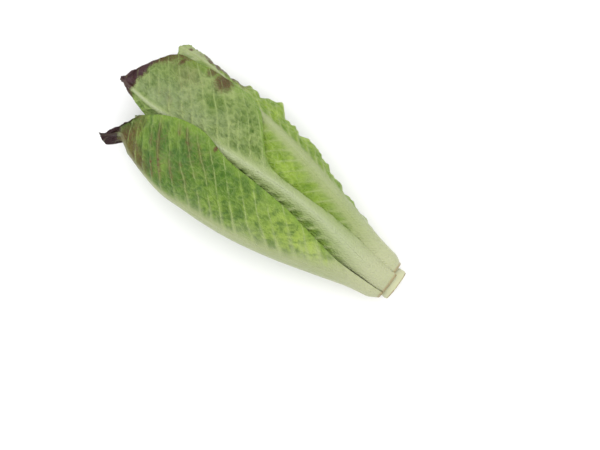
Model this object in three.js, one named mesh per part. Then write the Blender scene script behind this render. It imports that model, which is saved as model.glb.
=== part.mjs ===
// A head of red-tipped cos lettuce lying on its side: a cut stem that carries five whorls of leaves.
// Millimetres, +Z up. X runs from the cut face of the stem to the leaf tips, Y is across the head, and
// the origin is under the middle of the head, on the surface it lies on.
import * as THREE from 'three';

// The head's own section, as the surface that the outermost leaves follow. Values run from the cut
// face of the stem towards the tips, one every STATION_STEP.
const STATION_STEP = 30;
const HALF_WIDTH = [13.6, 18.5, 28, 37.5, 45, 49.5, 50.5, 50.5, 51, 49];
const HALF_HEIGHT = [13.6, 17.5, 24, 29.5, 33, 34, 33, 30, 26, 22];
const AXIS_HEIGHT = [20, 23.5, 29.5, 34, 36.5, 37, 35.5, 32.5, 29, 26];
const ROUND_TOP = 2.1; // exponent of the section's curve over the back of the head
const FLAT_UNDERSIDE = 3.2; // the same under the head, where its own weight flattens it

// The stem is a cone inside the head, and its cut end stands out behind the leaves.
const STEM_RADII = [12.2, 13.0, 12.6, 10.3, 7.7, 5.7, 4.1, 2.6];
const STEM_PLACES = [0, 1.6, 6, 16, 27, 37, 46, 57];
const STEM_TIP = 62;
const STEM_SIDES = 32;

const BLADE_THICKNESS = 1.0;
const RIB_THINNING = 1.1; // how early the midrib thins on its way to the tip
const RIB_TIP_REACH = 1.5; // half the midrib's breadth at the tip
const BLADE_SHAPE = [0.5, 0.66, 0.8, 0.92, 1, 1, 0.92, 0.72, 0.34]; // reach of a plain leaf, base to tip

const OUTER_ROWS = 18; // facets along an outer leaf
const OUTER_COLUMNS = 12; // and across it
const SLOPE_STEP = 0.01; // how far apart two points are that a leaf's slope is taken from

const WAXY = 0.5; // roughness of the leaves
const CUT_FLESH = 0.6; // roughness of the stem
const LEAF_GREEN = 0x76943f;
const SECOND_GREEN = 0x8fae4e;
const INNER_GREEN = 0xb4c86e;
const HEART_YELLOW = 0xd6dc8e;
const STEM_CREAM = 0xdfe0b8;

// A leaf runs from one place on the stem to its tip. Its midrib stands at an azimuth round the head's
// axis, 0 at the top and 90 on the +Y side. The leading edge lies towards lower azimuths and covers the
// next leaf's trailing edge. Reach is in degrees round the axis, lift in millimetres away from it, and
// layer is the share of the head's section that the midrib follows. Lists run from base to tip.
const outerLeaves = [
  {
    name: 'outer_leaf_side',
    from: 6, to: 256, bow: 5, rib: 4.8, ribReach: 14,
    azimuth: [84, 80, 76, 75, 75, 76, 80, 78, 64],
    layer: [1, 1, 1, 1, 1, 1, 1, 0.95, 0.87],
    leading: { reach: [29, 46, 57, 68, 72, 75, 89, 73, 16], lift: [0, 1.6, 2.2, 2.4, 2.6, 3, 3.8, 4, 1] },
    trailing: { reach: [36, 53, 66, 74, 78, 74, 60, 40, 14], lift: [0, -1.4, -2.6, -3, -3, -3, -2.4, -1, 0] },
  },
  {
    name: 'outer_leaf_top',
    from: 6, to: 264, bow: 4, rib: 4.4, ribReach: 9,
    azimuth: [14, -3, -12, -14, -11, -6, -1, 4, 0],
    layer: [1, 0.97, 0.94, 0.93, 0.93, 0.94, 0.95, 0.96, 0.98],
    leading: { reach: [33, 27, 17, 10, 16, 61, 66, 64, 40], lift: [0, 1.2, 1.4, 1, 1.4, 3.6, 5, 4, 0] },
    trailing: { reach: [32, 42, 50, 57, 60, 57, 46, 30, 14], lift: [0, -1, -1.8, -2, -2, -2.4, -4, -6, -4] },
  },
  {
    name: 'outer_leaf_shoulder',
    from: 8, to: 247, bow: 5, rib: 5.2, ribReach: 12,
    azimuth: [-58, -58, -57, -58, -61, -66, -73, -77, -73],
    layer: [1, 0.96, 0.93, 0.93, 0.93, 0.92, 0.92, 0.93, 0.94],
    leading: { reach: [33, 37, 38, 34, 31, 30, 32, 28, 12], lift: [0, 1.4, 3, 5, 6.5, 7, 6, 3, 0] },
    trailing: { reach: [32, 32, 34, 44, 50, 50, 44, 36, 16], lift: [0, -0.7, -1.2, -2, -2.8, -3, -3, -2, 0] },
  },
  {
    name: 'outer_leaf_under',
    from: 8, to: 240, bow: 7, rib: 5.2, ribReach: 12,
    azimuth: [-130, -135, -139, -140, -140, -140, -140, -138, -134],
    layer: [1, 0.98, 0.97, 0.97, 0.97, 0.97, 0.97, 0.97, 0.97],
    leading: { reach: [33, 36, 40, 44, 46, 46, 44, 36, 16], lift: [0, 1.4, 2.4, 2.8, 2.8, 2.8, 2.6, 2, 1] },
    trailing: { reach: [32, 36, 46, 56, 60, 60, 52, 36, 14], lift: [0, -1, -2, -2.6, -3, -3, -2.6, -2, -1] },
  },
  {
    name: 'outer_leaf_floor',
    from: 6, to: 246, bow: 7, rib: 5.4, ribReach: 12,
    azimuth: [160, 156, 151, 149, 149, 149, 149, 148, 146],
    layer: [1, 1, 1, 1, 1, 1, 1, 0.99, 0.97],
    leading: { reach: [33, 34, 36, 37, 37, 37, 36, 32, 14], lift: [0, 1.6, 2.6, 2.8, 2.8, 2.8, 2.4, 1.6, 1] },
    trailing: { reach: [32, 36, 40, 44, 48, 48, 44, 34, 14], lift: [0, -1.4, -2.6, -3, -3, -3, -2.6, -2, -1] },
  },
];

// Each inner whorl stands between the leaves of the one outside it.
const innerWhorls = [
  {
    name: 'second_leaf', colour: SECOND_GREEN, from: 17, rib: 3.0, ribReach: 9, reach: 51, lift: 2.2,
    layer: [0.69, 0.7, 0.71, 0.73, 0.74, 0.74, 0.75], bow: 5,
    azimuths: [124, 50, -24, -96, -168], tips: [222, 214, 230, 212, 220],
    columns: 8, rows: 14,
  },
  {
    name: 'third_leaf', colour: INNER_GREEN, from: 27, rib: 2.4, ribReach: 7, reach: 51, lift: 1.8,
    layer: [0.48, 0.495, 0.515, 0.52, 0.53], bow: 4,
    azimuths: [84, 13, -60, -132, 157], tips: [188, 196, 184, 180, 190],
    columns: 8, rows: 12,
  },
  {
    name: 'fourth_leaf', colour: INNER_GREEN, from: 37, rib: 1.9, ribReach: 5.5, reach: 60, lift: 1.4,
    layer: [0.325, 0.33, 0.335, 0.34, 0.34], bow: 3,
    azimuths: [44, -46, -136, 134], tips: [160, 155, 148, 156],
    columns: 6, rows: 10,
  },
  {
    name: 'heart_leaf', colour: HEART_YELLOW, from: 46, rib: 1.2, ribReach: 4, reach: 72, lift: 1.1,
    layer: [0.215, 0.195, 0.185, 0.18, 0.17], bow: 2,
    azimuths: [4, -116, 124], tips: [128, 118, 122],
    columns: 6, rows: 8,
  },
];

// A smooth curve through evenly spaced values, where place counts the spaces between them.
function through(values, place) {
  const last = values.length - 1;
  const value = (i) => values[Math.min(Math.max(i, 0), last)];
  const i = Math.min(Math.max(Math.floor(place), 0), last - 1);
  const f = place - i;
  const [before, start, end, after] = [value(i - 1), value(i), value(i + 1), value(i + 2)];
  const slope = end - before;
  const bend = 2 * before - 5 * start + 4 * end - after;
  const twist = 3 * (start - end) + after - before;
  return start + 0.5 * f * (slope + f * (bend + f * twist));
}

// The value of a leaf's list, or its one number, at a share of the way from base to tip.
function alongLeaf(values, share) {
  return Array.isArray(values) ? through(values, share * (values.length - 1)) : values;
}

// Distance from the head's axis to its section's curve, in one direction.
function sectionRadius(x, azimuth) {
  const place = x / STATION_STEP;
  const roundness = THREE.MathUtils.lerp(FLAT_UNDERSIDE, ROUND_TOP, 0.5 + 0.5 * Math.cos(azimuth));
  const across = Math.abs(Math.sin(azimuth)) / through(HALF_WIDTH, place);
  const upward = Math.abs(Math.cos(azimuth)) / through(HALF_HEIGHT, place);
  return (across ** roundness + upward ** roundness) ** (-1 / roundness);
}

// The inner face of a leaf. share runs from base to tip, and side from -1 on the trailing edge
// through 0 on the midrib to 1 on the leading edge.
function leafPoint(leaf, share, side) {
  const half = side < 0 ? leaf.trailing : leaf.leading;
  const x = THREE.MathUtils.lerp(leaf.from, leaf.to, share) - leaf.bow * share ** 3 * side ** 2;
  const turned = alongLeaf(leaf.azimuth, share) - side * alongLeaf(half.reach, share);
  const azimuth = THREE.MathUtils.degToRad(turned);
  const lift = alongLeaf(half.lift, share) * Math.abs(side);
  const radius = alongLeaf(leaf.layer, share) * sectionRadius(x, azimuth) + lift;
  const axisHeight = through(AXIS_HEIGHT, x / STATION_STEP);
  return new THREE.Vector3(x, radius * Math.sin(azimuth), axisHeight + radius * Math.cos(azimuth));
}

// Thickness of a leaf: a rib that is broad and thick at the base, thin at the leaf's edges, and dies
// out towards the tip.
function leafThickness(leaf, share, side, distance) {
  const ribHeight = leaf.rib * (1 - share) ** RIB_THINNING * (1 - side ** 2);
  const ribReach = leaf.ribReach * (1 - share) + RIB_TIP_REACH;
  return BLADE_THICKNESS + ribHeight * Math.exp(-((distance / ribReach) ** 2));
}

// Outward direction of a leaf's inner face, from its slopes along and across the leaf.
function leafNormal(leaf, share, side) {
  const low = Math.max(share - SLOPE_STEP, 0);
  const high = Math.min(share + SLOPE_STEP, 1);
  const along = leafPoint(leaf, high, side).sub(leafPoint(leaf, low, side));
  const left = Math.max(side - SLOPE_STEP, -1);
  const right = Math.min(side + SLOPE_STEP, 1);
  const across = leafPoint(leaf, share, right).sub(leafPoint(leaf, share, left));
  return across.cross(along).normalize();
}

// Both faces of one leaf, as two grids of points: the inner face first, then the outer.
function leafFaces(leaf, rows, columns) {
  const inner = [];
  const outer = [];
  for (let row = 0; row <= rows; row += 1) {
    const share = row / rows;
    const midrib = leafPoint(leaf, share, 0);
    for (let column = 0; column <= columns; column += 1) {
      const side = (2 * column) / columns - 1;
      const point = leafPoint(leaf, share, side);
      const thickness = leafThickness(leaf, share, side, point.distanceTo(midrib));
      inner.push(point);
      outer.push(point.clone().addScaledVector(leafNormal(leaf, share, side), thickness));
    }
  }
  return [...inner, ...outer];
}

// Closes the two grids of a leaf into one solid, with a wall along all four of its edges.
function leafGeometry(leaf, rows, columns) {
  const index = [];
  const outerStart = (rows + 1) * (columns + 1);
  const at = (row, column) => row * (columns + 1) + column;
  const quad = (a, b, c, d) => index.push(a, b, c, a, c, d);
  for (let row = 0; row < rows; row += 1) {
    for (let column = 0; column < columns; column += 1) {
      const [a, b] = [at(row, column), at(row, column + 1)];
      const [c, d] = [at(row + 1, column + 1), at(row + 1, column)];
      quad(a + outerStart, b + outerStart, c + outerStart, d + outerStart);
      quad(a, d, c, b); // split along the same diagonal as the outer face, so that the two never meet
    }
  }
  const wall = (a, b) => quad(a, b, b + outerStart, a + outerStart);
  for (let row = 0; row < rows; row += 1) {
    wall(at(row + 1, 0), at(row, 0));
    wall(at(row, columns), at(row + 1, columns));
  }
  for (let column = 0; column < columns; column += 1) {
    wall(at(0, column), at(0, column + 1));
    wall(at(rows, column + 1), at(rows, column));
  }
  const geometry = new THREE.BufferGeometry();
  geometry.setFromPoints(leafFaces(leaf, rows, columns));
  geometry.setIndex(index);
  geometry.computeVertexNormals();
  return geometry;
}

function leafMesh(leaf, rows, columns, colour) {
  const material = new THREE.MeshStandardMaterial({ color: colour, roughness: WAXY, metalness: 0 });
  const mesh = new THREE.Mesh(leafGeometry(leaf, rows, columns), material);
  mesh.name = leaf.name;
  return mesh;
}

// The stem's profile turned round its axis, with the cut face flat and the buried end drawn to a point.
function stemMesh() {
  const profile = STEM_RADII.map((radius, i) => new THREE.Vector2(radius, STEM_PLACES[i]));
  profile.unshift(new THREE.Vector2(0, STEM_PLACES[0]));
  profile.push(new THREE.Vector2(0, STEM_TIP));
  const material = new THREE.MeshStandardMaterial({ color: STEM_CREAM, roughness: CUT_FLESH, metalness: 0 });
  const mesh = new THREE.Mesh(new THREE.LatheGeometry(profile, STEM_SIDES), material);
  mesh.rotation.z = -Math.PI / 2;
  mesh.name = 'stem';
  return mesh;
}

// The stem follows the head's axis, which rises as the head widens.
function bendStem(mesh) {
  mesh.updateMatrix();
  mesh.geometry.applyMatrix4(mesh.matrix);
  mesh.rotation.set(0, 0, 0);
  const places = mesh.geometry.getAttribute('position');
  for (let i = 0; i < places.count; i += 1) {
    places.setZ(i, places.getZ(i) + through(AXIS_HEIGHT, places.getX(i) / STATION_STEP));
  }
  return mesh;
}

// One plain leaf of an inner whorl.
function innerLeaf(whorl, number) {
  const reach = BLADE_SHAPE.map((share) => share * whorl.reach);
  const lift = BLADE_SHAPE.map((share) => Math.max(share - BLADE_SHAPE[0], 0) * 2 * whorl.lift);
  return {
    ...whorl,
    name: `${whorl.name}_${number + 1}`,
    to: whorl.tips[number],
    azimuth: whorl.azimuths[number],
    leading: { reach, lift },
    trailing: { reach, lift: lift.map((value) => -value) },
  };
}

const head = new THREE.Group();
head.add(bendStem(stemMesh()));
for (const leaf of outerLeaves) head.add(leafMesh(leaf, OUTER_ROWS, OUTER_COLUMNS, LEAF_GREEN));
for (const whorl of innerWhorls) {
  for (let number = 0; number < whorl.azimuths.length; number += 1) {
    head.add(leafMesh(innerLeaf(whorl, number), whorl.rows, whorl.columns, whorl.colour));
  }
}

// Moves the origin under the middle of the head.
const box = new THREE.Box3().setFromObject(head, true);
const middle = box.getCenter(new THREE.Vector3());
head.position.set(-middle.x, -middle.y, -box.min.z);

const lettuce = new THREE.Group();
lettuce.add(head);

export default lettuce;
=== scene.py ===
from types import SimpleNamespace

import bpy
import numpy as np
from mathutils import Matrix, Vector


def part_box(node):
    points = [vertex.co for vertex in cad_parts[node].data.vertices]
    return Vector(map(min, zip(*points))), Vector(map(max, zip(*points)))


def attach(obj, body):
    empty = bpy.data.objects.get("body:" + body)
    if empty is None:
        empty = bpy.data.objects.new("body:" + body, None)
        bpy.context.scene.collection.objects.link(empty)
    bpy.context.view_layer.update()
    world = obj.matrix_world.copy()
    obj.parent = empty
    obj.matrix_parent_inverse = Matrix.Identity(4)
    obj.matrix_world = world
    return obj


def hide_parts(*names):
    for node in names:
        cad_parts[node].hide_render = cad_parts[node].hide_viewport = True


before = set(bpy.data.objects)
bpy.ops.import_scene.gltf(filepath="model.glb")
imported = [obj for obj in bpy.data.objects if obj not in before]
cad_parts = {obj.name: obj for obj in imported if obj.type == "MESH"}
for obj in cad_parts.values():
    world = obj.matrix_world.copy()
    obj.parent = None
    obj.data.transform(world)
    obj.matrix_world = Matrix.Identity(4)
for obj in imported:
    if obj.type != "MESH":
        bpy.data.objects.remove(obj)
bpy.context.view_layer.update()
print("frame loaded:", len(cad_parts), "nodes")

head = {  # the surface the leaves lie on, in millimetres from the cut end of the stem
    "stationStep": 30,
    "halfWidth": [13.6, 18.5, 28, 37.5, 45, 49.5, 50.5, 50.5, 51, 49],
    "halfHeight": [13.6, 17.5, 24, 29.5, 33, 34, 33, 30, 26, 22],
    "axisHeight": [20, 23.5, 29.5, 34, 36.5, 37, 35.5, 32.5, 29, 26],
    "roundTop": 2.1,  # exponent of the section's curve over the back of the head
    "flatUnderside": 3.2,
}
millimetre = 0.001


def smoothThrough(values, place):  # a smooth curve through evenly spaced values
    values = np.asarray(values, float)
    last = len(values) - 1
    i = np.clip(np.floor(place).astype(int), 0, last - 1)
    f = place - i
    before, start, end, after = (values[np.clip(i + k, 0, last)] for k in (-1, 0, 1, 2))
    bend = 2 * before - 5 * start + 4 * end - after
    twist = 3 * (start - end) + after - before
    return start + 0.5 * f * (end - before + f * (bend + f * twist))


def alongLeaf(values, share):  # a list runs from base to tip, one number holds all along the leaf
    if isinstance(values, list):
        return smoothThrough(values, share * (len(values) - 1))
    return values + 0 * share


def smoothStep(low, high, value):
    t = np.clip((value - low) / (high - low), 0, 1)
    return t * t * (3 - 2 * t)


def cutFaceCentre():  # where the head's axis starts, from the stem of the frame
    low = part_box("stem")[0]
    hair = 0.01 * millimetre
    rim = [v.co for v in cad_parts["stem"].data.vertices if v.co.x < low.x + hair]
    ends = [(min(p[k] for p in rim) + max(p[k] for p in rim)) / 2 for k in range(3)]
    return Vector(ends)


headOrigin = np.array(cutFaceCentre()) - np.array([0, 0, head["axisHeight"][0] * millimetre])


def sectionRadius(x, azimuth):
    place = x / head["stationStep"]
    top = 0.5 + 0.5 * np.cos(azimuth)
    n = head["flatUnderside"] + (head["roundTop"] - head["flatUnderside"]) * top
    across = np.abs(np.sin(azimuth)) / smoothThrough(head["halfWidth"], place)
    upward = np.abs(np.cos(azimuth)) / smoothThrough(head["halfHeight"], place)
    return (across ** n + upward ** n) ** (-1 / n)


def tipRound(leaf, share):  # narrows a leaf to a round tip over its last part
    nearlyAll = 0.99  # all of it would pinch the last row into a point
    beyond = np.clip((share - leaf["roundFrom"]) / (1 - leaf["roundFrom"]), 0, 1)
    return np.sqrt(1 - nearlyAll * beyond ** 2)


def leafSurface(leaf, share, side):  # inner face of a leaf, millimetres from the cut end
    lead, trail = leaf["leading"], leaf["trailing"]
    pick = lambda key: np.where(side > 0, alongLeaf(lead[key], share), alongLeaf(trail[key], share))
    x = leaf["from"] + (leaf["to"] - leaf["from"]) * share - leaf["bow"] * share ** 3 * side ** 2
    azimuth = np.radians(alongLeaf(leaf["azimuth"], share) - side * pick("reach") * tipRound(leaf, share))
    radius = alongLeaf(leaf["layer"], share) * sectionRadius(x, azimuth) + pick("lift") * np.abs(side)
    for roll in leaf.get("rolls", []):  # an edge that turns away from the head, or down into it
        grown = smoothStep(roll["start"], 1, side * roll["edge"])
        fade = np.exp(-((share - roll["share"]) / roll["length"]) ** 2)
        radius = radius + roll["lift"] * grown ** 1.5 * fade
    axis = smoothThrough(head["axisHeight"], x / head["stationStep"])
    points = np.stack([x, radius * np.sin(azimuth), axis + radius * np.cos(azimuth)], -1)
    for shift in leaf.get("tipShifts", []):
        grown = smoothStep(shift["from"], 1, share)
        points = points + grown[..., None] * np.array(shift["by"])
    return points


class Wire:  # a socket that can stand in a sum
    def __init__(self, tree, socket):
        self.tree, self.socket = tree, socket

    def maths(self, operation, *others):
        return self.tree.node("ShaderNodeMath", {"operation": operation}, [self, *others])

    def __add__(self, other):
        return self.maths("ADD", other)

    def __sub__(self, other):
        return self.maths("SUBTRACT", other)

    def __rsub__(self, other):
        return self.tree.node("ShaderNodeMath", {"operation": "SUBTRACT"}, [other, self])

    def __mul__(self, other):
        return self.maths("MULTIPLY", other)

    def __truediv__(self, other):
        return self.maths("DIVIDE", other)

    def __pow__(self, other):
        return self.maths("POWER", other)

    def __neg__(self):
        return self * -1

    def __abs__(self):
        return self.maths("ABSOLUTE")

    __radd__ = __add__
    __rmul__ = __mul__

    def least(self, other):
        return self.maths("MINIMUM", other)

    def most(self, other):
        return self.maths("MAXIMUM", other)

    def step(self, low, high):  # 0 below low, 1 above high, smooth between, or the other way round
        values = {"Value": self, "From Min": low, "From Max": high}
        return self.tree.node("ShaderNodeMapRange", {"interpolation_type": "SMOOTHSTEP"}, values)

    def bell(self, width):  # 1 at zero, falling off to both sides
        return self.tree.node("ShaderNodeMath", {"operation": "POWER"}, [np.e, -((self / width) ** 2)])


class NodeTree:
    def __init__(self, tree):
        self.tree = tree

    def node(self, kind, settings=None, inputs=None, output=0):
        made = self.tree.nodes.new(kind)
        for key, value in (settings or {}).items():
            setattr(made, key, value)
        pairs = inputs.items() if isinstance(inputs, dict) else enumerate(inputs or [])
        for key, value in pairs:
            if isinstance(value, Wire):
                self.tree.links.new(value.socket, made.inputs[key])
            else:
                made.inputs[key].default_value = value
        return Wire(self, made.outputs[output]) if made.outputs else made

    def colourMix(self, factor, first, second):
        values = {0: factor, 6: first, 7: second}
        return self.node("ShaderNodeMix", {"data_type": "RGBA"}, values, 2)

    def split(self, vector):
        return [self.node("ShaderNodeSeparateXYZ", {}, [vector], k) for k in range(3)]

    def join(self, x, y, z):
        return self.node("ShaderNodeCombineXYZ", {}, [x, y, z])

    def noise(self, place, scale, detail):
        values = {"Vector": place, "Scale": scale, "Detail": detail}
        return self.node("ShaderNodeTexNoise", {"noise_dimensions": "3D"}, values)

    def cells(self, place, scale=1.0, feature="DISTANCE_TO_EDGE"):  # zero on the wall of a cell
        return self.node("ShaderNodeTexVoronoi", {"feature": feature}, {"Vector": place, "Scale": scale})


# Each pattern of a leaf is a noise over the leaf's own coordinates, and its shift sets it apart from
# the others of the same leaf.
grains = {  # name: (repeats to a millimetre along, the same across, shift, scale, detail)
    "wander": (0.02, 0.028, 0, 1.0, 2.0),
    "uneven": (0.035, 3, 2, 1.0, 1.0),
    "sway": (0.16, 0.16, 4, 1.0, 2.0),
    "waves": (0.021, 0.03, 7, 1.0, 2.0),
    "lumps": (0.085, 0.1, 5, 1.0, 1.0),
    "frill": (1, 0.9, 3, 1.0, 1.5),
    "crumple": (0.19, 0.24, 11, 1.0, 2.0),
    "patch": (0.05, 0.05, 0, 1.0, 3.0),
    "speck": (1, 1, 0, 0.9, 3.0),
    "mottle": (0.16, 0.2, 8, 1.0, 2.0),
    "streak": (0.26, 0.03, 0, 1.0, 2.0),
    "broken": (0.06, 0.11, 5, 1.0, 2.0),
    "bloom": (0.05, 0.05, 0, 0.6, 2.0),
    "deep": (0.035, 0.06, 21, 1.0, 2.0),
    "fibre": (0.03, 1.3, 0, 1.0, 2.0),
}


def grain(build, name, along, across, seed):  # between 0 and 1
    fineAlong, fineAcross, shift, scale, detail = grains[name]
    place = build.join(along * fineAlong, across * fineAcross, seed + shift)
    return build.noise(place, scale, detail)


def swing(build, name, along, across, seed):  # the same, to both sides of zero
    return grain(build, name, along, across, seed) - 0.5


# The veins of a leaf, from its own coordinates: distance along and across it in millimetres. Side veins
# leave the midrib at a slant, those of one half between those of the other, and a net fills the gaps.
veins = {
    "slant": 0.78,  # millimetres along the leaf for each one across it
    "curve": 0.0016,
    "wander": 9.0,  # millimetres
    "uneven": 0.9,  # in spacings, as is the next
    "halfShift": 0.25,
    "cellLength": 5.6,
    "cellBreadth": 4.2,
    "netSway": 1.8,
    "netSize": 2.4,
}


def veinField(build, along, across, side, spacing, seed):
    out, half = abs(across), side.maths("SIGN")
    wander = swing(build, "wander", along, across, seed) * veins["wander"]
    run = along - out * veins["slant"] - out * out * veins["curve"] + wander
    uneven = swing(build, "uneven", run, half, seed) * veins["uneven"]
    turn = run / spacing + uneven + half * veins["halfShift"] + seed
    off = abs(turn.maths("FRACT") - 0.5) * spacing  # distance from the nearest side vein
    sway = swing(build, "sway", along, across, seed) * veins["netSway"]
    down, over = run / veins["cellLength"] + sway, out / veins["cellBreadth"] - sway
    net = build.cells(build.join(down, over, half * 10 + seed))  # each half has cells of its own
    fine = build.cells(build.join(run / veins["netSize"], out / veins["netSize"], half * 9 + seed))
    return {"run": run, "out": out, "off": off, "half": half, "net": net, "fine": fine}


def ribReach(taper, reach, tipReach, flare):  # half the midrib's breadth, which spreads at the base
    return reach * taper + tipReach + flare * taper.step(0.68, 0.98)


plainRelief = {  # the inputs of the blade tree, in millimetres, and the starts in shares of the leaf
    "Thickness": 0.55,
    "Rib Height": 5.0,
    "Rib Reach": 12.0,
    "Rib Tip Reach": 1.2,
    "Rib Flare": 6.0,
    "Vein Spacing": 11.0,
    "Vein Height": 0.5,
    "Quilt Depth": 1.1,
    "Wave Height": 0.7,
    "Ruffle Height": 1.3,
    "Ruffle Length": 12.0,
    "Ruffle Start": 0.75,
    "Tip Crumple": 0.8,
    "Crumple Start": 0.9,
    "Seed": 0.0,
}

bladeShape = {  # each pair is where a part of the relief begins and where it is full
    "ribThins": 0.9,
    "ribRise": (-0.012, 0.04),
    "offRib": (0.6, 1.7),  # in midrib breadths
    "thinRim": (0.9, 1),
    "calmRim": (0.74, 0.97),  # veins and puffs die out here, so that the edge runs smooth
    "puff": (0.0, 0.42),
    "finePuff": (0.0, 0.35),
    "betweenVeins": (0.04, 0.46),
    "quiltGrows": (0.15, 0.6),
    "veinBreadth": 1.3,
}


def quiltRelief(get, field, edge, share, onBlade):  # the skin sinks between the veins, seen from outside
    puff = field["net"].step(*bladeShape["puff"])
    finePuff = field["fine"].step(*bladeShape["finePuff"])
    between = (field["off"] / get("Vein Spacing")).step(*bladeShape["betweenVeins"])
    grown = share.step(*bladeShape["quiltGrows"]) * 0.7 + 0.3
    quilt = (puff * 0.5 + finePuff * 0.1 + between * 0.4) * get("Quilt Depth") * grown * -1
    sideVein = field["off"].bell(bladeShape["veinBreadth"] - 0.5 * edge) * (1.15 - 0.7 * edge)
    calm = 1 - edge.step(*bladeShape["calmRim"]) * 0.9
    return (quilt + sideVein * get("Vein Height")) * onBlade * calm


def bladeRelief(build, get, read):  # how far every point of the guide moves outward, in millimetres
    along, across, side = build.split(read("leafPlace", "FLOAT_VECTOR"))
    share, skin, seed = read("share", "FLOAT"), read("skin", "FLOAT"), get("Seed")
    field = veinField(build, along, across, side, get("Vein Spacing"), seed)
    taper, edge = 1 - share, abs(side)
    reach = ribReach(taper, get("Rib Reach"), get("Rib Tip Reach"), get("Rib Flare"))
    rib = field["out"].bell(reach) * (taper ** bladeShape["ribThins"]) * (1 - edge * edge)
    rib = rib * share.step(*bladeShape["ribRise"])
    onBlade = (field["out"] / reach).step(*bladeShape["offRib"])
    waves = swing(build, "waves", along, across, seed) * 2
    lumps = swing(build, "lumps", along, across, seed) * 1.2 * onBlade
    frill = swing(build, "frill", along / get("Ruffle Length"), side, seed)
    frilled = edge.step(get("Ruffle Start"), 1.05) * (side * 0.45 + 0.55) * get("Ruffle Height") * 3
    crumple = swing(build, "crumple", along, across, seed)
    crumpled = share.step(get("Crumple Start"), 1) * get("Tip Crumple") * 3
    waved = (waves + lumps) * get("Wave Height") * (1 - rib)
    relief = quiltRelief(get, field, edge, share, onBlade) + waved
    thinRim = 1 - 0.6 * edge.step(*bladeShape["thinRim"])
    outerSkin = skin * (get("Thickness") * thinRim + rib * get("Rib Height"))
    return relief + frill * frilled + crumple * crumpled + outerSkin


def makeBladeTree():
    group = bpy.data.node_groups.new("leafBlade", "GeometryNodeTree")
    group.interface.new_socket("Geometry", in_out="INPUT", socket_type="NodeSocketGeometry")
    group.interface.new_socket("Material", in_out="INPUT", socket_type="NodeSocketMaterial")
    for name, value in plainRelief.items():
        socket = group.interface.new_socket(name, in_out="INPUT", socket_type="NodeSocketFloat")
        socket.default_value = value
    group.interface.new_socket("Geometry", in_out="OUTPUT", socket_type="NodeSocketGeometry")
    build = NodeTree(group)
    given = group.nodes.new("NodeGroupInput")
    get = lambda name: Wire(build, given.outputs[name])
    named = "GeometryNodeInputNamedAttribute"
    read = lambda name, kind: build.node(named, {"data_type": kind}, {"Name": name})
    move = bladeRelief(build, get, read) * millimetre
    outward = {0: read("outward", "FLOAT_VECTOR"), "Scale": move}
    offset = build.node("ShaderNodeVectorMath", {"operation": "SCALE"}, outward)
    moved = build.node("GeometryNodeSetPosition", {}, {"Geometry": get("Geometry"), "Offset": offset})
    real = build.node("GeometryNodeRealizeInstances", {}, {"Geometry": moved})
    painted = build.node("GeometryNodeSetMaterial", {}, {"Geometry": real, "Material": get("Material")})
    finished = group.nodes.new("NodeGroupOutput")
    group.links.new(painted.socket, finished.inputs["Geometry"])
    return group


bladeTree = makeBladeTree()


def sheetFaces(rows, columns):  # two skins and the wall round their edge
    start = (rows + 1) * (columns + 1)
    at = np.arange(start).reshape(rows + 1, columns + 1)
    inner = np.stack([at[1:, :-1], at[1:, 1:], at[:-1, 1:], at[:-1, :-1]], -1).reshape(-1, 4)
    outer = inner[:, ::-1] + start
    rim = np.concatenate([at[0, :], at[1:, -1], at[-1, -2::-1], at[-2:0:-1, 0]])
    after = np.roll(rim, -1)
    wall = np.stack([rim, after, after + start, rim + start], -1)
    return np.concatenate([inner, outer, wall])


def leafCoordinates(leaf, points, share, side):
    gaps = np.linalg.norm(np.diff(points, axis=1), axis=2)
    walked = np.concatenate([np.zeros((len(points), 1)), np.cumsum(gaps, axis=1)], axis=1)
    across = walked - walked[:, points.shape[1] // 2][:, None]
    along = leaf["from"] + (leaf["to"] - leaf["from"]) * share
    return np.stack([along, across, side], -1)


def setAttribute(mesh, name, kind, values):
    attribute = mesh.attributes.new(name, kind, "POINT")
    key = "vector" if kind == "FLOAT_VECTOR" else "value"
    attribute.data.foreach_set(key, np.ascontiguousarray(values, np.float32).ravel())


def leafSheet(name, leaf):  # the bare guide of a leaf, both skins in one place
    rows, columns = leaf["grid"]
    share, side = np.meshgrid(np.linspace(0, 1, rows + 1), np.linspace(-1, 1, columns + 1), indexing="ij")
    points = leafSurface(leaf, share, side)
    outward = np.cross(np.gradient(points, axis=1), np.gradient(points, axis=0))
    outward /= np.linalg.norm(outward, axis=2, keepdims=True)
    places = points.reshape(-1, 3) * millimetre + headOrigin
    mesh = bpy.data.meshes.new(name)
    mesh.from_pydata(np.concatenate([places, places]).tolist(), [], sheetFaces(rows, columns).tolist())
    twice = lambda values, width: np.concatenate([values.reshape(-1, width)] * 2)
    setAttribute(mesh, "leafPlace", "FLOAT_VECTOR", twice(leafCoordinates(leaf, points, share, side), 3))
    setAttribute(mesh, "outward", "FLOAT_VECTOR", twice(outward, 3))
    setAttribute(mesh, "share", "FLOAT", twice(share, 1))
    setAttribute(mesh, "skin", "FLOAT", np.repeat([0, 1], len(places)))
    mesh.polygons.foreach_set("use_smooth", np.ones(len(mesh.polygons), bool))
    sheet = bpy.data.objects.new(name, mesh)
    bpy.context.scene.collection.objects.link(sheet)
    return sheet


def growBlade(sheet, relief, material):  # veins, quilting and thickness, then a plain mesh
    modifier = sheet.modifiers.new("blade", "NODES")
    modifier.node_group = bladeTree
    values = {"Material": material, **plainRelief, **relief}
    for item in bladeTree.interface.items_tree:
        if item.in_out == "INPUT" and item.name in values:
            modifier[item.identifier] = values[item.name]
    bare = sheet.data
    grown = bpy.data.meshes.new_from_object(sheet.evaluated_get(bpy.context.evaluated_depsgraph_get()))
    sheet.modifiers.remove(modifier)
    sheet.data = grown
    bpy.data.meshes.remove(bare)
    grown.name = sheet.name


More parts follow.
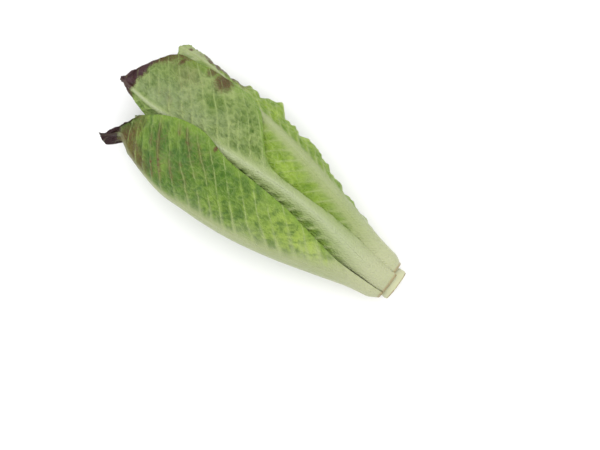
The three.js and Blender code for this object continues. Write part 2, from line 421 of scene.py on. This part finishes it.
studioGain = 1.45  # how much lighter than its own colour the lamps make a face that looks up
waxShine = 0.034  # the white the lamps add to any colour through the leaf's wax


def colour(red, green, blue):  # 0 to 255 as it shows in the studio, to the light the flesh reflects
    parts = [c / 255 for c in (red, green, blue)]
    light = [p / 12.92 if p <= 0.04045 else ((p + 0.055) / 1.055) ** 2.4 for p in parts]
    return (*[max(p - waxShine, 0.004) / studioGain for p in light], 1)


plainLook = {
    "blade": colour(108, 140, 60),
    "bladeLight": colour(130, 160, 76),
    "bladeBase": colour(150, 178, 88),
    "bloom": colour(150, 172, 124),
    "bloomAmount": 0.3,
    "bloomPlace": {"share": 0.7, "side": 0.0, "length": 0.5, "breadth": 1.5},
    "cell": colour(92, 126, 48),
    "vein": colour(178, 194, 126),
    "veinShow": 0.5,
    "netShow": 0.35,
    "rib": colour(170, 182, 128),
    "ribShade": colour(152, 166, 106),
    "base": colour(206, 210, 168),
    "cut": colour(178, 150, 108),
    "margin": colour(132, 166, 66),
    "purple": colour(72, 52, 56),
    "brown": colour(108, 84, 58),
    "red": colour(112, 62, 60),
    "tipPurple": (2.0, 2.1),  # past the tip, so nowhere
    "stains": [],
    "streaks": [],
    "paleBelow": (0.12, 0.62),
    "feather": 0.5,
    "featherFall": 0.42,
    "fan": 0.55,
    # a painted highlight down the middle of the midrib, and how strongly it shows
    "ribHighlight": colour(206, 216, 174),
    "ribHighlightShow": 0.3,
    "depth": 0.55,
}


skin = {  # each pair is where a mark of the skin begins and where it is full
    "ribEdge": (1.35, 0.55),  # in midrib breadths, as are the next two
    "featherEdge": (1.0, 0.1),
    "fanEdge": (3.2, 0.6),
    "featherTip": (0.1, 0.5),
    "fanTip": (0.08, 0.4),
    "fanBreadth": 1.7,
    "veinBreadth": 0.85,
    "veinFromRib": (1, 6),  # millimetres, as is the next
    "netFromRib": (3, 12),
    "veinBreaks": (0.3, 0.6),
    "netLine": (0.1, 0.01),
    "fineLine": (0.12, 0.0),
    "netGrows": (0.25, 0.7),
    "puff": (0.02, 0.38),
    "patch": (0.36, 0.66),
    "mottle": (0.42, 0.66),
    "bloom": (0.3, 0.52),
    "margin": (0.84, 1.0),
    "deep": (0.5, 0.72),
    "deepFromVein": (0.05, 0.3),
    "stain": (0.35, 1.0),
    "streakBreaks": (0.42, 0.6),
    "redSpeck": (0.35, 0.65),
    "fibre": (0.35, 0.7),
    "paleStalk": (0.24, 0.02),
    "cutEdge": (0.012, 0.002),
}


def leafMarks(build, look, relief):  # what the paint, the gloss and the fine relief of a leaf share
    read = lambda key, output: build.node("ShaderNodeAttribute", {"attribute_name": key}, [], output)
    along, across, side = build.split(read("leafPlace", 1))
    share, seed = read("share", 2), relief["Seed"]
    marks = SimpleNamespace(**veinField(build, along, across, side, relief["Vein Spacing"], seed))
    marks.share, marks.side, marks.edge, marks.taper = share, side, abs(side), 1 - share
    marks.grain = lambda name: grain(build, name, along, across, seed)
    marks.patch, marks.speck = marks.grain("patch"), marks.grain("speck")
    marks.broken = marks.grain("broken")
    streak = swing(build, "streak", marks.run, marks.out, marks.half + seed)
    marks.reach = ribReach(marks.taper, relief["Rib Reach"], relief["Rib Tip Reach"], relief["Rib Flare"])
    marks.ribPlace = marks.out / marks.reach
    marks.rib = (marks.ribPlace + streak * 0.5 * marks.taper).step(*skin["ribEdge"])
    feather = (marks.ribPlace * look["featherFall"] + streak * 1.1).step(*skin["featherEdge"])
    marks.feather = feather * marks.taper.step(*skin["featherTip"])
    thinned = skin["veinBreadth"] - 0.4 * marks.edge
    veinLine = marks.off.bell(thinned) * marks.out.step(*skin["veinFromRib"])
    marks.veinLine = veinLine * marks.broken.step(*skin["veinBreaks"])
    grown = share.step(*skin["netGrows"]) * 0.75 + 0.25
    marks.netLine = marks.net.step(*skin["netLine"]) * marks.out.step(*skin["netFromRib"]) * grown
    marks.fineLine = marks.fine.step(*skin["fineLine"]) * grown
    marks.puffs = marks.net.step(*skin["puff"])
    marks.ragged = (marks.speck - 0.5) * 0.5 + (marks.patch - 0.5) * 0.9
    return marks


def softSpot(marks, spot):
    along = (marks.share - spot["share"]).bell(spot["length"])
    return along * (marks.side - spot["side"]).bell(spot["breadth"])


def greenPaint(build, look, marks, spacing):
    paleAll, paleNone = look["paleBelow"]
    green = build.colourMix(marks.patch.step(*skin["patch"]), look["blade"], look["bladeLight"])
    green = build.colourMix(marks.share.step(paleNone, paleAll), green, look["bladeBase"])
    mottled = marks.puffs * 0.3 + marks.grain("mottle").step(*skin["mottle"]) * 0.45
    green = build.colourMix(mottled, green, look["cell"])
    bloomed = softSpot(marks, look["bloomPlace"]) * look["bloomAmount"]
    bloom = marks.grain("bloom").step(*skin["bloom"]) * bloomed
    green = build.colourMix(bloom * (0.5 + marks.speck * 0.9), green, look["bloom"])
    green = build.colourMix(marks.edge.step(*skin["margin"]) * 0.8, green, look["margin"])
    green = build.colourMix(marks.fineLine * look["netShow"] * 0.4, green, look["vein"])
    green = build.colourMix(marks.netLine * look["netShow"], green, look["vein"])
    green = build.colourMix(marks.feather * look["feather"], green, look["rib"])
    fan = marks.off.bell(skin["fanBreadth"]) * marks.ribPlace.step(*skin["fanEdge"])
    green = build.colourMix(fan * marks.taper.step(*skin["fanTip"]) * look["fan"], green, look["rib"])
    deep = marks.grain("deep").step(*skin["deep"]) * (marks.off / spacing).step(*skin["deepFromVein"])
    return build.colourMix(deep * look["depth"], green, look["cell"])


def purpleMask(look, marks):
    purple = (marks.share + marks.ragged * 0.06).step(*look["tipPurple"])
    for stain in look["stains"]:
        spot = (softSpot(marks, stain) + marks.ragged * 1.1).step(*skin["stain"]) * stain["strength"]
        purple = purple.most(spot * (1 - marks.veinLine * 0.5))
    for streaks in look["streaks"]:
        lined = marks.off.bell(streaks["width"]) * 0.9 + marks.netLine * 0.4
        kept = marks.broken.step(*skin["streakBreaks"]) * streaks["strength"]
        purple = purple.most(lined * softSpot(marks, streaks) * kept)
    return purple


def leafPaint(build, look, marks, fibre, spacing):
    purple = purpleMask(look, marks)
    stained = build.colourMix(marks.speck.step(*skin["redSpeck"]), look["brown"], look["red"])
    stained = build.colourMix(marks.share.step(*look["tipPurple"]), stained, look["purple"])
    paint = build.colourMix(purple.least(1), greenPaint(build, look, marks, spacing), stained)
    paint = build.colourMix(marks.veinLine * look["veinShow"] * (1 - purple * 0.75), paint, look["vein"])
    rib = build.colourMix(fibre.step(*skin["fibre"]) * 0.7, look["rib"], look["ribShade"])
    # a painted highlight, lighter down the middle of the midrib
    rib = build.colourMix(marks.out.bell(marks.reach * 0.45) * look["ribHighlightShow"], rib, look["ribHighlight"])
    paint = build.colourMix(marks.rib * (1 - purple * 0.96), paint, rib)
    paint = build.colourMix(marks.share.step(*skin["paleStalk"]), paint, look["base"])
    cut = (marks.share + marks.ragged * 0.008).step(*skin["cutEdge"])
    return build.colourMix(cut * 0.7, paint, look["cut"])


def leafMaterial(name, leaf):
    look = {**plainLook, **leaf["look"]}
    relief = {**plainRelief, **leaf["relief"]}
    material = bpy.data.materials.new(name)
    material.use_nodes = True
    material.node_tree.nodes.clear()
    build = NodeTree(material.node_tree)
    marks = leafMarks(build, look, relief)
    fibre = marks.grain("fibre")
    fineHeight = marks.fine.step(0.0, 0.3) * -0.6 + marks.netLine * 0.4 + marks.speck * 0.4
    height = {"Strength": 0.7, "Distance": 0.0008, "Height": fineHeight + marks.rib * fibre * 0.5}
    surface = build.node("ShaderNodeBsdfPrincipled", {"subsurface_method": "RANDOM_WALK"}, {
        "Base Color": leafPaint(build, look, marks, fibre, relief["Vein Spacing"]),
        "Roughness": 0.44 + marks.puffs * 0.08 + (marks.speck - 0.5) * 0.16 - marks.rib * 0.05,
        "Normal": build.node("ShaderNodeBump", {}, height),
        "Specular IOR Level": 0.35,
        "Subsurface Weight": 0.12,
        "Subsurface Radius": (0.8, 1.0, 0.35),
        "Subsurface Scale": 0.001,
    })
    build.node("ShaderNodeOutputMaterial", {}, {"Surface": surface})
    return material


def makeLeaf(name, leaf):
    sheet = leafSheet(name + "_blade", leaf)
    growBlade(sheet, leaf["relief"], leafMaterial(name + "_flesh", leaf))
    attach(sheet, "root")
    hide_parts(name)
    return sheet


sideLeaf = {
    "grid": (240, 150),
    "from": 6, "to": 256, "bow": 5, "roundFrom": 0.96,
    "azimuth": [82, 80, 76, 75, 75, 76, 80, 78, 64],
    "layer": [1, 1, 1, 1, 1, 1, 1, 0.86, 0.64],
    "leading": {
        "reach": [40, 46, 57, 68, 72, 75, 89, 73, 12],
        "lift": [1, 1.6, 2.2, 2.4, 2.6, 3, 4.2, 7, 1],
    },
    "trailing": {
        "reach": [48, 56, 66, 74, 78, 75, 62, 43, 10],
        "lift": [-0.6, -1.4, -2.6, -3, -3, -3, -2.4, -1, 0],
    },
    "tipShifts": [{"from": 0.93, "by": (0, 19, -4)}],
    "relief": {
        "Rib Height": 4.6, "Rib Reach": 17.0, "Vein Spacing": 11.5, "Vein Height": 0.7, "Quilt Depth": 1.8,
        "Wave Height": 0.9, "Ruffle Height": 0.9, "Ruffle Length": 15.0, "Tip Crumple": 1.1,
        "Crumple Start": 0.93, "Seed": 1.3,
    },
    "look": {
        # lighter than the other leaves' midribs: painted light on a midrib that faces sideways, away from
        # the lamps
        "rib": colour(192, 200, 152),
        "ribShade": colour(174, 186, 130),
        "bladeBase": colour(184, 208, 96),
        "paleBelow": (0.2, 0.66),
        "blade": colour(98, 136, 44),
        "bladeLight": colour(142, 174, 72),
        "cell": colour(76, 112, 34),
        "tipPurple": (0.925, 0.955),
        "stains": [
            {"share": 0.93, "side": 0.0, "length": 0.05, "breadth": 0.9, "strength": 0.8},
            {"share": 0.88, "side": 0.05, "length": 0.12, "breadth": 0.3, "strength": 0.7},
            {"share": 0.675, "side": 0.97, "length": 0.01, "breadth": 0.07, "strength": 1.0},
        ],
        "streaks": [
            {"share": 0.78, "side": 0.62, "length": 0.1, "breadth": 0.3, "width": 2.2, "strength": 1.0},
            {"share": 0.82, "side": 0.3, "length": 0.14, "breadth": 0.3, "width": 1.6, "strength": 0.9},
        ],
        "veinShow": 0.7,
        "netShow": 0.2,
        "bloomAmount": 0.12,
    },
}

topLeaf = {
    "grid": (240, 150),
    "from": 6, "to": 266, "bow": 4, "roundFrom": 0.89,
    "azimuth": [10, -3, -12, -14, -11, -6, -1, 4, 0],
    "layer": [1, 0.97, 0.94, 0.93, 0.93, 0.94, 0.95, 0.96, 0.98],
    "leading": {
        "reach": [36, 27, 17, 10, 16, 61, 67, 68, 66],
        "lift": [1, 1.2, 1.4, 1, 1.4, 3.8, 6.5, 7, 3],
    },
    "trailing": {
        "reach": [40, 42, 50, 57, 60, 57, 46, 26, 16],
        "lift": [-0.6, -1, -1.8, -2, -2, -2.4, -4, -6, -2],
    },
    "relief": {
        "Rib Height": 4.0, "Rib Reach": 8.0, "Rib Flare": 7.0, "Vein Spacing": 10.5, "Vein Height": 0.8,
        "Quilt Depth": 2.8, "Wave Height": 1.1, "Ruffle Height": 1.2, "Ruffle Length": 11.0,
        "Tip Crumple": 1.2, "Crumple Start": 0.9, "Seed": 2.6,
    },
    "look": {
        "bloomAmount": 0.9,
        "bloom": colour(168, 182, 136),
        "bloomPlace": {"share": 0.82, "side": 0.25, "length": 0.17, "breadth": 0.42},
        # a stronger painted highlight down the middle of this leaf's midrib
        "ribHighlight": colour(214, 222, 186),
        "ribHighlightShow": 0.45,
        "fan": 0.8,
        "depth": 0.3,
        "red": colour(106, 72, 56),
        "brown": colour(92, 80, 48),
        "blade": colour(144, 168, 92),
        "bladeLight": colour(174, 192, 122),
        "bladeBase": colour(142, 176, 52),
        "cell": colour(84, 118, 44),
        "purple": colour(92, 70, 72),
        "rib": colour(178, 193, 134),
        "ribShade": colour(166, 182, 124),
        "feather": 0.45,
        "netShow": 0.26,
        "veinShow": 0.7,
        "tipPurple": (0.945, 0.965),
        "stains": [
            {"share": 0.945, "side": 1.02, "length": 0.1, "breadth": 0.3, "strength": 1.0},
            {"share": 0.87, "side": 0.85, "length": 0.08, "breadth": 0.3, "strength": 0.25},
            {"share": 0.75, "side": 0.95, "length": 0.038, "breadth": 0.2, "strength": 0.9},
            {"share": 0.8, "side": 0.97, "length": 0.02, "breadth": 0.1, "strength": 0.8},
            {"share": 0.89, "side": 0.92, "length": 0.014, "breadth": 0.12, "strength": 0.9},
        ],
        "streaks": [
            {"share": 0.85, "side": 0.55, "length": 0.05, "breadth": 0.5, "width": 1.5, "strength": 0.6},
        ],
    },
}

shoulderLeaf = {
    "grid": (240, 130),
    "from": 8, "to": 245, "bow": 3, "roundFrom": 0.91,
    "azimuth": [-58, -58, -57, -58, -61, -66, -73, -77, -73],
    "layer": [1, 0.96, 0.93, 0.93, 0.93, 0.92, 0.94, 1.0, 1.03],
    "leading": {
        "reach": [38, 37, 38, 34, 31, 30, 32, 30, 24],
        "lift": [1, 1.4, 3, 5, 6.5, 7, 7, 5, 1],
    },
    "trailing": {
        "reach": [42, 36, 34, 44, 50, 50, 44, 36, 26],
        "lift": [-0.6, -0.7, -1.2, -2, -2.8, -3, -4, -6, -2],
    },
    "rolls": [
        {"edge": 1, "start": 0.3, "lift": 6, "share": 0.64, "length": 0.04},
        {"edge": 1, "start": 0.5, "lift": 4, "share": 0.745, "length": 0.025},
    ],
    "relief": {
        "Rib Height": 4.6, "Rib Reach": 8.0, "Rib Flare": 7.0, "Vein Spacing": 10.0, "Quilt Depth": 1.2,
        "Ruffle Start": 0.35, "Ruffle Height": 4.0, "Ruffle Length": 9.0, "Tip Crumple": 1.4,
        "Crumple Start": 0.88, "Seed": 4.1,
    },
    "look": {
        "blade": colour(138, 170, 60),
        "bladeLight": colour(174, 202, 88),
        "bladeBase": colour(136, 166, 56),
        "margin": colour(206, 222, 116),
        "cell": colour(108, 142, 40),
        "rib": colour(176, 189, 128),
        "ribShade": colour(162, 177, 112),
        "bloomAmount": 0.9,
        "bloom": colour(188, 196, 152),
        "bloomPlace": {"share": 0.95, "side": 0.0, "length": 0.08, "breadth": 0.9},
        "red": colour(98, 54, 60),
        "brown": colour(96, 68, 60),
        "stains": [
            {"share": 0.86, "side": 0.8, "length": 0.13, "breadth": 0.75, "strength": 1.0},
            {"share": 0.87, "side": 0.3, "length": 0.06, "breadth": 0.16, "strength": 1.0},
            {"share": 0.965, "side": 0.2, "length": 0.012, "breadth": 0.15, "strength": 0.8},
        ],
    },
}

underLeaf = {
    "grid": (180, 130),
    "from": 8, "to": 240, "bow": 5, "roundFrom": 0.9,
    "azimuth": [-130, -135, -139, -140, -140, -140, -140, -138, -134],
    "layer": [1, 0.98, 0.97, 0.97, 0.97, 0.97, 0.97, 0.97, 0.97],
    "leading": {
        "reach": [38, 38, 40, 44, 46, 46, 44, 36, 22],
        "lift": [1, 1.4, 2.4, 2.8, 2.8, 2.8, 2.6, 2, 1],
    },
    "trailing": {
        "reach": [44, 42, 46, 56, 60, 60, 52, 38, 20],
        "lift": [-0.6, -1, -2, -2.6, -3, -3, -2.6, -2, -1],
    },
    "relief": {
        "Rib Height": 5.0, "Rib Reach": 9.0, "Vein Spacing": 10.5, "Ruffle Height": 1.2,
        "Ruffle Length": 9.0, "Seed": 5.7,
    },
    "look": {
        "blade": colour(124, 158, 62),
        "bladeLight": colour(146, 176, 80),
        "bladeBase": colour(162, 186, 88),
        "margin": colour(160, 186, 84),
    },
}

floorLeaf = {
    "grid": (180, 110),
    "from": 6, "to": 246, "bow": 5, "roundFrom": 0.9,
    "azimuth": [160, 156, 151, 149, 149, 149, 149, 148, 146],
    "layer": [1, 1, 1, 1, 1, 1, 1, 0.99, 0.97],
    "leading": {
        "reach": [38, 36, 36, 37, 37, 37, 36, 32, 20],
        "lift": [1, 1.6, 2.6, 2.8, 2.8, 2.8, 2.4, 1.6, 1],
    },
    "trailing": {
        "reach": [42, 40, 40, 44, 48, 48, 44, 34, 20],
        "lift": [-0.6, -1.4, -2.6, -3, -3, -3, -2.6, -2, -1],
    },
    "relief": {
        "Rib Height": 5.2, "Rib Reach": 9.5, "Vein Spacing": 10.5, "Ruffle Height": 1.6, "Seed": 6.9,
    },
    "look": {"bladeLight": colour(138, 168, 80)},
}

outerLeaves = {
    "outer_leaf_side": sideLeaf,
    "outer_leaf_top": topLeaf,
    "outer_leaf_shoulder": shoulderLeaf,
    "outer_leaf_under": underLeaf,
    "outer_leaf_floor": floorLeaf,
}
for name, leaf in outerLeaves.items():
    makeLeaf(name, leaf)
    print("grown:", name)


plainLeaf = {  # what the leaves of the inner whorls have in common
    "reach": [0.5, 0.66, 0.8, 0.92, 1, 1, 0.94, 0.8, 0.62],  # of the whorl's own reach, base to tip
    "roundFrom": 0.86,
    "ribFlare": 2.0,
    "firstSeed": 10.0,
    "seedStep": 1.7,
}

secondWhorl = {
    "slot": "second_leaf", "grid": (120, 80), "from": 17, "bow": 4, "reach": 51, "lift": 2.2,
    "layer": [0.69, 0.7, 0.71, 0.73, 0.74, 0.74, 0.75],
    "azimuths": [124, 50, -24, -96, -168], "tips": [222, 214, 230, 212, 218],
    "relief": {"Rib Height": 3.0, "Rib Reach": 8.5, "Vein Spacing": 9.0, "Vein Height": 0.45,
               "Quilt Depth": 1.0, "Wave Height": 0.5, "Ruffle Height": 1.2, "Ruffle Length": 10.0},
    "look": {"blade": colour(138, 168, 74), "bladeLight": colour(160, 186, 96)},
}
thirdWhorl = {
    "slot": "inner_leaf", "grid": (90, 60), "from": 27, "bow": 3, "reach": 51, "lift": 1.8,
    "layer": [0.48, 0.495, 0.515, 0.52, 0.53],
    "azimuths": [84, 13, -60, -132, 157], "tips": [188, 196, 184, 180, 190],
    "relief": {"Rib Height": 2.4, "Rib Reach": 6.5, "Vein Spacing": 8.0, "Vein Height": 0.35,
               "Quilt Depth": 0.7, "Wave Height": 0.3, "Ruffle Height": 0.9, "Ruffle Length": 9.0},
    "look": {"blade": colour(172, 192, 104), "bladeLight": colour(186, 204, 120)},
}
fourthWhorl = {
    "slot": "inner_leaf", "grid": (70, 50), "from": 37, "bow": 2, "reach": 60, "lift": 1.4,
    "layer": [0.325, 0.33, 0.335, 0.34, 0.34],
    "azimuths": [44, -46, -136, 134], "tips": [160, 154, 148, 156],
    "relief": {"Rib Height": 1.9, "Rib Reach": 5.0, "Vein Spacing": 7.0, "Vein Height": 0.3,
               "Quilt Depth": 0.5, "Wave Height": 0.2, "Ruffle Height": 0.6, "Ruffle Length": 8.0},
    "look": {"blade": colour(192, 206, 124), "bladeLight": colour(204, 214, 136)},
}
heartWhorl = {
    "slot": "heart_leaf", "grid": (60, 40), "from": 46, "bow": 1, "reach": 72, "lift": 1.1,
    "layer": [0.215, 0.195, 0.185, 0.18, 0.17],
    "azimuths": [4, -116, 124], "tips": [128, 118, 122],
    "relief": {"Rib Height": 1.2, "Rib Reach": 4.0, "Vein Spacing": 6.0, "Vein Height": 0.2,
               "Quilt Depth": 0.3, "Wave Height": 0.1, "Ruffle Height": 0.4, "Ruffle Length": 7.0},
    "look": {"blade": colour(212, 216, 138), "bladeLight": colour(222, 224, 150)},
}


def whorlLeaf(whorl, number):
    shape = plainLeaf["reach"]
    reach = [share * whorl["reach"] for share in shape]
    lift = [max(share - shape[0], 0) * 2 * whorl["lift"] for share in shape]
    seed = plainLeaf["firstSeed"] + whorl["from"] + number * plainLeaf["seedStep"]
    return {
        **whorl,
        "roundFrom": plainLeaf["roundFrom"],
        "to": whorl["tips"][number],
        "azimuth": whorl["azimuths"][number],
        "leading": {"reach": reach, "lift": lift},
        "trailing": {"reach": reach, "lift": [-value for value in lift]},
        "relief": {**whorl["relief"], "Rib Flare": plainLeaf["ribFlare"], "Seed": seed},
    }


innerWhorls = {
    "second_leaf": secondWhorl,
    "third_leaf": thirdWhorl,
    "fourth_leaf": fourthWhorl,
    "heart_leaf": heartWhorl,
}
for whorlName, whorl in innerWhorls.items():
    for number in range(len(whorl["azimuths"])):
        makeLeaf(f"{whorlName}_{number + 1}", whorlLeaf(whorl, number))
    print("grown:", whorlName)


cutStem = {  # millimetres from the cut face
    "places": [0, 1.6, 6, 16, 27, 37, 46, 57],
    "radii": [12.2, 13.0, 12.6, 10.3, 7.7, 5.7, 4.1, 2.6],
    "tip": 62,
    "dish": 0.5,  # how far the middle of the cut face has shrunk in
    "around": 128,
    "faceRings": 24,
    "wallRings": 70,
    "ringPlace": 0.7,  # of the cut face's radius, as is its breadth
    "ringBreadth": 0.1,
    "bundleSize": 1.5,
    "flesh": colour(222, 224, 182),
    "pith": colour(232, 234, 204),
    "ring": colour(182, 192, 128),
    "bundle": colour(150, 128, 84),
    "rim": colour(158, 116, 76),
}


def stemMesh():  # turned round the head's axis, from the middle of the cut face to the buried end
    around = cutStem["around"]
    outward = np.linspace(0, 1, cutStem["faceRings"] + 1)[1:]
    inward = np.linspace(0, cutStem["places"][-1], cutStem["wallRings"] + 1)[1:]
    wall = np.interp(inward, cutStem["places"], cutStem["radii"])
    radius = np.concatenate([outward * cutStem["radii"][0], wall])
    place = np.concatenate([cutStem["dish"] * (1 - outward ** 4), inward])
    turn = np.linspace(0, 2 * np.pi, around, endpoint=False)
    across, up = radius[:, None] * np.sin(turn), radius[:, None] * np.cos(turn)
    own = np.stack([place[:, None] + 0 * across, across, up], -1).reshape(-1, 3)
    own = np.concatenate([own, [[cutStem["dish"], 0, 0], [cutStem["tip"], 0, 0]]])
    axis = smoothThrough(head["axisHeight"], own[:, 0] / head["stationStep"])
    bent = (own + np.stack([0 * axis, 0 * axis, axis], -1)) * millimetre + headOrigin
    at = np.arange(len(radius) * around).reshape(-1, around)
    after = np.roll(at, -1, axis=1)
    quads = np.stack([at[:-1], at[1:], after[1:], after[:-1]], -1).reshape(-1, 4).tolist()
    face = [(at.size, int(k), int(m)) for k, m in zip(at[0], after[0])]
    buried = [(int(k), at.size + 1, int(m)) for k, m in zip(at[-1], after[-1])]
    mesh = bpy.data.meshes.new("stem")
    mesh.from_pydata(bent.tolist(), [], quads + face + buried)
    setAttribute(mesh, "stemPlace", "FLOAT_VECTOR", own)
    mesh.polygons.foreach_set("use_smooth", np.ones(len(mesh.polygons), bool))
    return mesh


def stemMaterial():
    material = bpy.data.materials.new("stem_flesh")
    material.use_nodes = True
    material.node_tree.nodes.clear()
    build = NodeTree(material.node_tree)
    own = build.node("ShaderNodeAttribute", {"attribute_name": "stemPlace"}, [], 1)
    place, across, up = build.split(own)
    out = (across * across + up * up) ** 0.5 / cutStem["radii"][0]
    grain = build.noise(own, 0.5, 3.0)
    fine = build.noise(own, 2.4, 2.0)
    onFace = place.step(1.0, 0.6)
    wander = out + (grain - 0.5) * 0.12
    ring = (wander - cutStem["ringPlace"]).bell(cutStem["ringBreadth"])
    dots = build.cells(build.join(across, up, 0), 1 / cutStem["bundleSize"], "F1")
    bundle = dots.step(0.42, 0.2) * ring.step(0.2, 0.7)
    rim = wander.step(0.86, 1.0) * onFace
    paint = build.colourMix(wander.step(0.6, 0.2), cutStem["flesh"], cutStem["pith"])
    paint = build.colourMix(ring * 0.7 * onFace, paint, cutStem["ring"])
    paint = build.colourMix(bundle * onFace * 0.8, paint, cutStem["bundle"])
    paint = build.colourMix(rim * grain.step(0.3, 0.6) * 0.85, paint, cutStem["rim"])
    height = fine * 0.5 - bundle * 0.8 + grain * 0.6
    bumped = build.node("ShaderNodeBump", {}, {"Strength": 0.5, "Distance": 0.0006, "Height": height})
    surface = build.node("ShaderNodeBsdfPrincipled", {}, {
        "Base Color": paint,
        "Roughness": 0.42 + grain * 0.2,
        "Normal": bumped,
        "Subsurface Weight": 0.15,
        "Subsurface Radius": (1.0, 0.9, 0.5),
        "Subsurface Scale": 0.0015,
    })
    build.node("ShaderNodeOutputMaterial", {}, {"Surface": surface})
    return material


def makeStem():
    mesh = stemMesh()
    mesh.materials.append(stemMaterial())
    stem = bpy.data.objects.new("stem_cut", mesh)
    bpy.context.scene.collection.objects.link(stem)
    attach(stem, "root")
    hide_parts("stem")
    print("stem ready")


makeStem()


studio = {
    "floorSize": 6.0,
    "floorShade": (0.92, 0.92, 0.92, 1),
    "floorRoughness": 0.9,
    "lampSize": 2.4,
    "lampPower": 24,
    "lampPlace": (0.12, -0.2, 1.7),
    "skyStrength": 1.02,
    "cameraAim": (89.0, 7.1, 40.0),  # the point under the camera, in the head's own millimetres
    "cameraRise": 1.09,
    "lens": 85,
    "right": (-0.8, -0.6, 0),
    "up": (0.6, -0.8, 0),
}


def floorMaterial():
    material = bpy.data.materials.new("paleFloor")
    material.use_nodes = True
    material.node_tree.nodes.clear()
    build = NodeTree(material.node_tree)
    values = {"Base Color": studio["floorShade"], "Roughness": studio["floorRoughness"]}
    surface = build.node("ShaderNodeBsdfPrincipled", {}, values)
    build.node("ShaderNodeOutputMaterial", {}, {"Surface": surface})
    return material


def makeFloor():
    half = studio["floorSize"] / 2
    mesh = bpy.data.meshes.new("floor")
    corners = [(-half, -half, 0), (half, -half, 0), (half, half, 0), (-half, half, 0)]
    mesh.from_pydata(corners, [], [(0, 1, 2, 3)])
    mesh.materials.append(floorMaterial())
    floor = bpy.data.objects.new("floor", mesh)
    bpy.context.scene.collection.objects.link(floor)


def makeLight():
    lamp = bpy.data.lights.new("softbox", "AREA")
    lamp.size = studio["lampSize"]
    lamp.energy = studio["lampPower"]
    softbox = bpy.data.objects.new("softbox", lamp)
    softbox.location = studio["lampPlace"]
    softbox.rotation_euler = (-softbox.location).to_track_quat("-Z", "Y").to_euler()
    bpy.context.scene.collection.objects.link(softbox)
    world = bpy.data.worlds.new("studio")
    world.use_nodes = True
    sky = world.node_tree.nodes["Background"]
    sky.inputs["Color"].default_value = (1, 1, 1, 1)
    sky.inputs["Strength"].default_value = studio["skyStrength"]
    bpy.context.scene.world = world


def makeCamera():
    camera = bpy.data.objects.new("camera", bpy.data.cameras.new("camera"))
    camera.data.lens = studio["lens"]
    right, up = Vector(studio["right"]), Vector(studio["up"])
    turned = Matrix((right, up, right.cross(up))).transposed().to_4x4()
    aim = Vector(headOrigin) + Vector(studio["cameraAim"]) * millimetre
    place = aim + Vector((0, 0, studio["cameraRise"]))
    camera.matrix_world = Matrix.Translation(place) @ turned
    bpy.context.scene.collection.objects.link(camera)
    bpy.context.scene.camera = camera


makeFloor()
makeLight()
makeCamera()
bpy.context.scene.view_settings.view_transform = "Standard"
print("studio ready")
